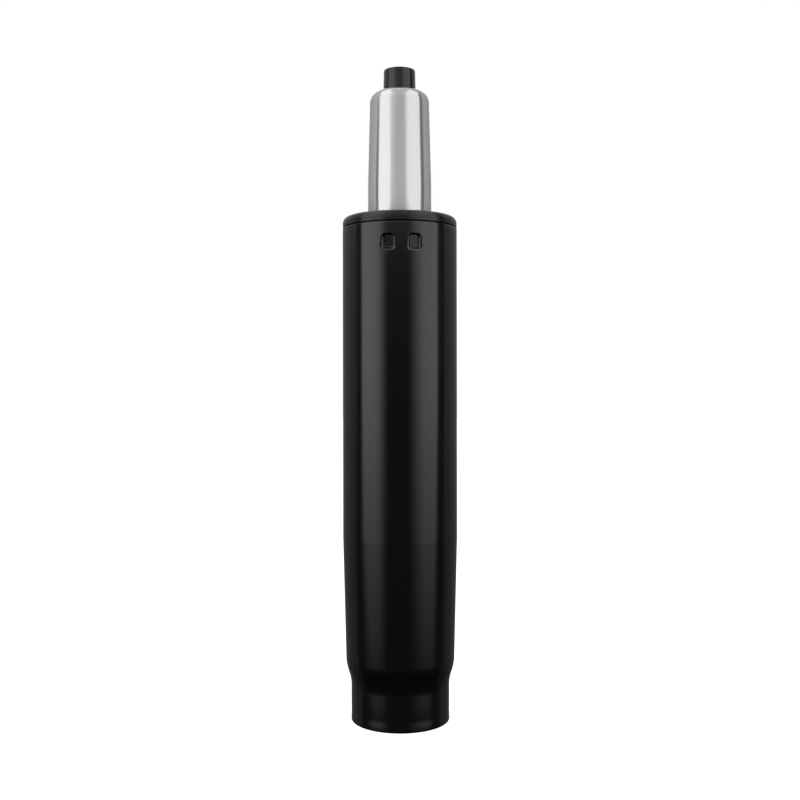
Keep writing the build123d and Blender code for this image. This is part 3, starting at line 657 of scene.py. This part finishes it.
def standSection(t):
    radius, foot = t["radius"], t["footRadius"]
    bore, footBore = radius - t["wall"], foot - t["wall"]
    top = t["height"] - t["seam"]
    coneRadius = radius - (t["coneTop"] - t["coneFoot"]) * taperSlope
    lean = math.atan(taperSlope)
    turn = math.radians(t["neckTurn"])
    bend = (coneRadius - foot) / (1 + math.cos(lean) - 2 * math.cos(turn))
    leanDegrees = math.degrees(lean)
    high = (coneRadius - bend * math.cos(lean), t["coneFoot"] + bend * math.sin(lean))
    neckHeight = t["coneFoot"] - bend * (math.sin(turn) - math.sin(lean))
    low = (foot + bend, neckHeight - bend * math.sin(turn))
    outside = sectionPoints([
        (bore, top, 0), (radius, top, t["topEdge"]), (radius, t["crimpTop"], 0),
    ], run=1.5)
    rows = t["crimpRows"]
    outside += [(radius, t["firstRow"] - t["rowsHeight"] * i / rows) for i in range(1, rows)]
    outside += sectionPoints([
        (radius, t["crimpBottom"], 0), (radius, t["coneTop"], 0), (coneRadius, t["coneFoot"], 0),
    ], run=3.0)[:-1]
    outside += arcPoints(high, bend, -leanDegrees, -t["neckTurn"], steps=14)
    outside += arcPoints(low, bend, 180 - t["neckTurn"], 180, steps=16)[1:]
    band = []
    for i in range(1, t["bandRows"]):
        z = low[1] + (t["rimRoll"] - low[1]) * i / t["bandRows"]
        if z > t["waistHeight"]:
            share = (t["waistTop"] - z) / (t["waistTop"] - t["waistHeight"])
            shift = -t["waist"] * max(0.0, min(1.0, share)) ** t["waistCurve"]
        else:
            share = (t["waistHeight"] - z) / (t["waistHeight"] - t["flareHeight"])
            share = min(1.0, share)
            shift = -t["waist"] + (t["waist"] + t["flare"]) * (3 * share ** 2 - 2 * share ** 3)
        band.append((foot + shift, z))
    rimCentre = (foot + t["flare"] - t["rimRoll"], t["rimRoll"])
    rim = arcPoints(rimCentre, t["rimRoll"], 0, -90, steps=8)
    under = sectionPoints([
        (foot - t["rimRoll"] - t["rimLand"], 0, 0), (t["rimOpening"], 0, t["rimEdge"]),
        (t["rimOpening"], t["wall"], t["rimInnerEdge"]), (footBore, t["wall"], 0),
    ], run=1.5)
    inside = [(footBore, z) for z in t["footRows"]]
    inside += arcPoints(low, bend + t["wall"], 180, 180 - t["neckTurn"], steps=10)
    inside += arcPoints(high, bend - t["wall"], -t["neckTurn"], -leanDegrees, steps=10)[1:]
    inside += [(bore, z) for z in (t["coneTop"], *t["boreRows"])]
    loop = outside + band + rim + under + inside
    return loop + [loop[0]]


def crimpColumns(t):  # close together where the crimps are
    angles = []
    here = -180.0
    while here < 180.0 - 0.01:
        angles.append(here)
        turned = abs(here)
        away = min(abs(turned - t["crimpAngle"]), abs(180 - turned - t["crimpAngle"]))
        here += t["crimpStep"] if away < t["crimpSpan"] else t["plainStep"]
    angles.append(180.0)
    return [a - 90 for a in angles]


crimpSizes = {
    "Angle": math.radians(standTube["crimpAngle"]), "Level": standTube["crimpLevel"] * mm,
    "Outside": 24.4 * mm,  # only the wall beyond this is pressed
    "Floor Distance": (standTube["radius"] - standTube["crimpDepth"]) * mm,
    "Width": 6.7 * mm, "Taper": 0.1, "Height": 7.2 * mm,
    "Top Corner": 2.0 * mm, "Bottom Corner": 1.5 * mm,
    "Floor Width": 3.4 * mm, "Floor Height": 5.3 * mm, "Floor Rise": 0.4 * mm,
    "Floor Corner": 0.6 * mm, "Wall Curve": 2.4, "Finish": finishes["black_powder_coat"],
}
standShell = turnPiece(
    "standTubeShell", standSection(standTube), crimpColumns(standTube),
    finishes["black_powder_coat"], (pressedCrimps, crimpSizes),
)
finishMesh(standShell)
standIn(standShell, "outer_tube", "outer_column")
print("stand tube turned and crimped")

# guide bush
guideBush = {
    "flangeRadius": 24.93, "flangeBottom": 215.0, "top": 219.6,
    "flangeEdge": 2.7, "underEdge": 0.3,
    "bore": 14.05, "leadIn": 0.5, "leadEdge": 0.25, "fit": 23.45, "sleeve": 16.25, "fillet": 0.3,
    "bottom": 130.0, "middle": 164.0, "collar": 198.0, "ring": 3.0, "columns": 256,
    "ribs": 12, "ribThickness": 1.8, "ribInside": 15.9, "ribOutside": 23.3,
    "ribBottom": 132.9, "ribTop": 198.1, "ribSharp": 30,
}


def bushSection(b):
    bore, fit, sleeve, edge = b["bore"], b["fit"], b["sleeve"], b["fillet"]
    lowTop = b["bottom"] + b["ring"]
    ringBottom, ringTop = b["middle"] - b["ring"] / 2, b["middle"] + b["ring"] / 2
    return sectionPoints([
        (bore, b["bottom"], 0), (fit, b["bottom"], edge),
        (fit, lowTop, edge), (sleeve, lowTop, edge),
        (sleeve, ringBottom, edge), (fit, ringBottom, edge),
        (fit, ringTop, edge), (sleeve, ringTop, edge),
        (sleeve, b["collar"], edge), (fit, b["collar"], edge), (fit, b["flangeBottom"], 0),
        (b["flangeRadius"], b["flangeBottom"], b["underEdge"]),
        (b["flangeRadius"], b["top"], b["flangeEdge"]),
        (bore + b["leadIn"], b["top"], b["leadEdge"]),
        (bore, b["top"] - b["leadIn"], b["leadEdge"]), (bore, b["bottom"], 0),
    ], run=4.0)


bushColumns = evenColumns(guideBush["columns"])
bushShell = turnPiece(
    "guideBushShell", bushSection(guideBush), bushColumns, finishes["black_plastic"],
)
ribNames = ("Inside", "Outside", "Thickness", "Bottom", "Top")
bushRibs = growPiece("guideBushRibs", (sleeveRibs, {
    "Count": guideBush["ribs"], "Finish": finishes["black_plastic"],
    **{name: guideBush["rib" + name] * mm for name in ribNames},
}))
finishMesh(bushShell)
finishMesh(bushRibs, guideBush["ribSharp"])
joinPieces(bushShell, bushRibs)
standIn(bushShell, "guide_bush", "outer_column")
print("guide bush moulded, with", guideBush["ribs"], "ribs")

# sliding column
slidingColumn = {
    "radius": 13.86, "wall": 1.5, "bottom": 22.44, "top": 274.69,
    "lip": 8.0, "lipEdge": 0.3, "roll": 1.2, "boreRow": 130.0,
    "coneStart": 233.89, "coneEnd": 12.96, "coneEndHeight": 269.8155,
    "shoulder": 5.0, "hole": 7.1, "holeEdge": 0.3, "faceEdge": 0.1, "columns": 288,
}


def columnSection(c):
    radius, bore = c["radius"], c["radius"] - c["wall"]
    floor, ceiling = c["bottom"] + c["wall"], c["top"] - c["wall"]
    lean = math.degrees(math.atan(taperSlope))
    middle = c["coneEnd"] - c["shoulder"] * math.cos(math.radians(lean))
    centre = (middle, c["top"] - c["shoulder"])
    points = sectionPoints([
        (c["lip"], floor, 0), (c["lip"], c["bottom"], c["lipEdge"]),
        (radius, c["bottom"], c["roll"]), (radius, c["coneStart"], 0),
        (c["coneEnd"], c["coneEndHeight"], 0),
    ], run=4.0)[:-1]
    points += arcPoints(centre, c["shoulder"], lean, 90, steps=28)
    points += sectionPoints([
        (middle - c["faceEdge"], c["top"], 0), (c["hole"], c["top"], c["holeEdge"]),
        (c["hole"], ceiling, 0), (middle, ceiling, 0),
    ], run=1.0)
    points += arcPoints(centre, c["shoulder"] - c["wall"], 90, lean, steps=10)[1:]
    points += [(bore, c["coneStart"]), (bore, c["boreRow"]), (bore, floor)]
    return points + [points[0]]


columnShell = turnPiece(
    "columnShell", columnSection(slidingColumn), evenColumns(slidingColumn["columns"]),
    finishes["bright_steel"],
)
finishMesh(columnShell)
standIn(columnShell, "pressure_tube", "gas_cylinder")
print("column turned")

# release button
releaseButton = {
    "radius": 7.08, "topRadius": 6.88, "top": 284.19, "edge": 0.6, "base": 274.69,
    "collar": 9.0, "collarTop": 272.89, "bottom": 269.89, "collarEdge": 0.8,
    "bottomEdge": 0.3, "fillet": 0.2, "columns": 192,
}


def buttonSection(b):
    collar, edge, soft = b["collar"], b["collarEdge"], b["fillet"]
    return sectionPoints([
        (0, b["bottom"], 0), (collar, b["bottom"], b["bottomEdge"]),
        (collar, b["collarTop"] - edge, soft), (collar - edge, b["collarTop"], soft),
        (b["radius"], b["collarTop"], 0), (b["radius"], b["base"], 0),
        (b["topRadius"], b["top"], b["edge"]), (0, b["top"], 0),
    ], run=1.2)


buttonShell = turnPiece(
    "releaseButtonShell", buttonSection(releaseButton), evenColumns(releaseButton["columns"]),
    finishes["button_plastic"],
)
finishMesh(buttonShell)
standIn(buttonShell, "release_button", "release_valve")
print("release button turned")

# studio, by the direction that a reflected ray leaves in; angles are in degrees
studio = {
    "cardLevel": 2.15, "rightCardShare": 0.88, "softLevel": 0.35,
    "spill": 0.24, "spillRise": (9.0, 10.0), "tail": 17.0,
    "sideLevel": 0.71, "rightSideShare": 0.93, "sideEdge": 6.0,
    "sideFar": (105.0, 150.0, 1.0, 0.76),  # angles, then the shares there
    "leftGap": 7.0, "rightGap": 12.0, "gapLevel": 0.13,
    "leftGapGlow": 0.62, "glowEdge": (-75.0, -70.0), "glowRise": (13.5, 18.5),
    "frontLevel": 0.88, "frontEdge": (38.0, 44.0), "frontTop": (58.0, 66.0),
    "behindLevel": 1.12, "behindEdge": (145.0, 172.0),
    "behindRise": (12.0, 32.0), "behindDrop": (54.0, 74.0),
    "leftCard": [     # height, then degrees round from the camera: soft edge, full, full, end
        (-17, 25, 48, 56, 90), (-8, 22, 52, 70, 88), (0, 22, 52, 78, 85), (8.9, 22, 52, 78, 85),
        (9.8, 29, 38, 81, 86), (14.5, 29, 38, 81, 86), (16.5, 27, 43, 81, 86),
        (30, 27, 43, 82, 87), (38, 27, 43, 88, 94), (43, 27, 43, 96, 106),
        (46.5, 28, 44, 98, 116), (50, 29, 45, 104, 124), (58, 33, 50, 114, 140),
        (66, 54, 84, 122, 146), (74, 92, 130, 140, 160), (80, 150, 185, 186, 190),
    ],
    "rightCard": [
        (-17, 17, 55, 64, 88), (-8, 14, 54, 72, 82), (0, 14, 54, 78, 84), (8.9, 14, 54, 78, 84),
        (9.8, 15, 33, 81, 86), (14.5, 15, 33, 81, 86), (16.5, 14, 35, 81, 86),
        (30, 15, 36, 82, 87), (38, 16, 37, 88, 94), (43, 17, 38, 96, 106),
        (46.5, 18, 39, 98, 116), (50, 20, 40, 104, 124), (58, 27, 46, 114, 140),
        (66, 48, 78, 122, 146), (74, 90, 125, 140, 160), (80, 150, 185, 186, 190),
    ],
    "fades": [        # height, then shares of the cards, the sides, the front and the gaps
        (-40, 0.01, 0.06, 0.027, 0.15), (-30, 0.015, 0.1, 0.036, 0.2),
        (-22, 0.04, 0.17, 0.05, 0.35), (-17.4, 0.08, 0.215, 0.069, 0.5),
        (-16.6, 0.165, 0.215, 0.069, 0.5), (-14.1, 0.24, 0.235, 0.076, 0.42),
        (-12.6, 0.335, 0.24, 0.08, 0.44), (-7.3, 0.49, 0.28, 0.096, 0.53),
        (-0.9, 0.855, 0.36, 0.09, 0.53), (2.3, 0.96, 0.385, 0.115, 0.75),
        (8.8, 1.0, 0.45, 0.1, 1.0), (9.5, 0.98, 1.0, 0.9, 0.6), (10.4, 0.98, 1.0, 0.97, 0.4),
        (14.5, 0.97, 1.0, 0.92, 0.4), (16.0, 0.94, 0.97, 0.86, 0.5), (60, 0.93, 0.93, 0.86, 0.6),
        (90, 0.93, 0.93, 0.82, 0.6),
    ],
    "floorGlow": 1.02, "floorReach": 4, "floorDrop": 0.00002,
}
lowest, highest = -40.0, 90.0  # heights that the tables cover
cardScale = 200.0              # card edges are given to a ramp as shares of this angle


def byHeight(tree, height, stops):  # four values that follow the height
    table = newNode(tree, "ShaderNodeValToRGB")
    places = table.color_ramp.elements
    while len(places) < len(stops):
        places.new(0.5)
    for place, (angle, *values) in zip(places, stops):
        place.position = (angle - lowest) / (highest - lowest)
        place.color = values
    feed(tree, table.inputs[0], ramp(tree, height, lowest, highest, smooth=False))
    split = newNode(tree, "ShaderNodeSeparateColor")
    feed(tree, split.inputs[0], table.outputs["Color"])
    return (*split.outputs, table.outputs["Alpha"])


def buildWorld(s):
    world = bpy.data.worlds.new("studioWorld")
    scene.world = world
    world.use_nodes = True
    tree = world.node_tree
    tree.nodes.clear()
    coords = newNode(tree, "ShaderNodeTexCoord")
    split = newNode(tree, "ShaderNodeSeparateXYZ")
    feed(tree, split.inputs[0], coords.outputs["Generated"])
    x, y, z = split.outputs
    bearing = calc(tree, "DEGREES", calc(tree, "ARCTAN2", x, calc(tree, "MULTIPLY", y, -1.0)))
    azimuth = calc(tree, "ADD", bearing, -cameraLook["azimuth"])
    height = calc(tree, "DEGREES", calc(tree, "ARCSINE", z))
    away = calc(tree, "ABSOLUTE", azimuth)
    isRight = calc(tree, "GREATER_THAN", azimuth, 0.0)
    cards, sides = [], []
    spill = ramp(tree, height, *s["spillRise"], 0.0, s["spill"])
    for side, name, tailLevel in ((-1.0, "left", spill), (1.0, "right", 0.0)):
        turned = calc(tree, "MULTIPLY", azimuth, side / cardScale)
        stops = [(h, *(edge / cardScale for edge in edges)) for h, *edges in s[name + "Card"]]
        soft, full, last, end = byHeight(tree, height, stops)
        tailStart = calc(tree, "SUBTRACT", soft, s["tail"] / cardScale)
        tail = ramp(tree, turned, tailStart, soft, 0.0, tailLevel, smooth=False)
        inner = blendValue(tree, ramp(tree, turned, soft, full), tail, 1.0)
        cards.append(calc(tree, "MULTIPLY", inner, ramp(tree, turned, last, end, 1.0, 0.0)))
        sideStart = calc(tree, "ADD", end, s[name + "Gap"] / cardScale)
        sideFull = calc(tree, "ADD", sideStart, s["sideEdge"] / cardScale)
        sides.append(ramp(tree, turned, sideStart, sideFull))
    covered = calc(tree, "ADD", *cards)
    cardShare = blendValue(tree, isRight, 1.0, s["rightCardShare"])
    cardFade, sideFade, frontFade, gapFade = byHeight(tree, height, s["fades"])
    card = calc(tree, "MULTIPLY", calc(tree, "MULTIPLY", covered, cardShare), cardFade)
    sideShare = blendValue(tree, isRight, s["sideLevel"], s["sideLevel"] * s["rightSideShare"])
    sideGlow = calc(tree, "MULTIPLY", sideFade, sideShare)
    sideLevel = calc(tree, "MULTIPLY", sideGlow, ramp(tree, away, *s["sideFar"], smooth=False))
    sideLight = calc(tree, "MULTIPLY", sideLevel, calc(tree, "ADD", *sides))
    inFront = ramp(tree, away, *s["frontEdge"], 1.0, 0.0)
    near = calc(tree, "MAXIMUM", inFront, ramp(tree, height, *s["frontTop"]))
    ahead = calc(tree, "MULTIPLY", near, calc(tree, "SUBTRACT", 1.0, covered))
    front = calc(tree, "MULTIPLY", calc(tree, "MULTIPLY", frontFade, s["frontLevel"]), ahead)
    base = calc(tree, "ADD", front, sideLight)
    lit = calc(tree, "ADD", base, calc(tree, "MULTIPLY", card, s["cardLevel"]))
    behindDrop = ramp(tree, height, *s["behindDrop"], 1.0, 0.0)
    behindBand = calc(tree, "MULTIPLY", ramp(tree, height, *s["behindRise"]), behindDrop)
    behind = calc(tree, "MULTIPLY", ramp(tree, away, *s["behindEdge"]), behindBand)
    glowSide = ramp(tree, azimuth, *s["glowEdge"], 1.0, 0.0)
    glowHigh = ramp(tree, height, *s["glowRise"], 0.0, s["leftGapGlow"], smooth=False)
    leftGlow = calc(tree, "MULTIPLY", glowSide, glowHigh)
    gapLevel = calc(tree, "MAXIMUM", calc(tree, "MULTIPLY", gapFade, s["gapLevel"]), leftGlow)
    glossy = blendValue(tree, behind, calc(tree, "MAXIMUM", lit, gapLevel), s["behindLevel"])
    path = newNode(tree, "ShaderNodeLightPath")
    seen = blendValue(tree, path.outputs["Is Glossy Ray"], s["softLevel"], glossy)
    strength = blendValue(tree, path.outputs["Is Camera Ray"], seen, 1.0)
    glow = newNode(tree, "ShaderNodeBackground")
    feed(tree, glow.inputs["Color"], (1, 1, 1, 1))
    feed(tree, glow.inputs["Strength"], strength)
    outlet = newNode(tree, "ShaderNodeOutputWorld")
    feed(tree, outlet.inputs["Surface"], glow.outputs[0])


def buildFloor(s):
    mesh = bpy.data.meshes.new("paleFloor")
    far = s["floorReach"]
    corners = [(-far, -far, 0), (far, -far, 0), (far, far, 0), (-far, far, 0)]
    mesh.from_pydata(corners, [], [(0, 1, 2, 3)])
    floor = bpy.data.objects.new("paleFloor", mesh)
    scene.collection.objects.link(floor)
    floor.location.z = -s["floorDrop"]
    material, tree, shader = newFinish("palePaper")
    shader.inputs["Base Color"].default_value = (0.9, 0.9, 0.9, 1)
    shader.inputs["Roughness"].default_value = 0.9
    shader.inputs["Emission Color"].default_value = (1, 1, 1, 1)
    shader.inputs["Emission Strength"].default_value = s["floorGlow"]
    through = newNode(tree, "ShaderNodeBsdfTransparent")
    face = newNode(tree, "ShaderNodeNewGeometry")
    mix = newNode(tree, "ShaderNodeMixShader")
    feed(tree, mix.inputs[0], face.outputs["Backfacing"])
    feed(tree, mix.inputs[1], shader.outputs[0])
    feed(tree, mix.inputs[2], through.outputs[0])
    feed(tree, tree.nodes["Material Output"].inputs["Surface"], mix.outputs[0])
    mesh.materials.append(material)
    floor.visible_glossy = False
    floor.visible_diffuse = False


buildWorld(studio)
buildFloor(studio)
print("studio lit")

print("gas lift ready")
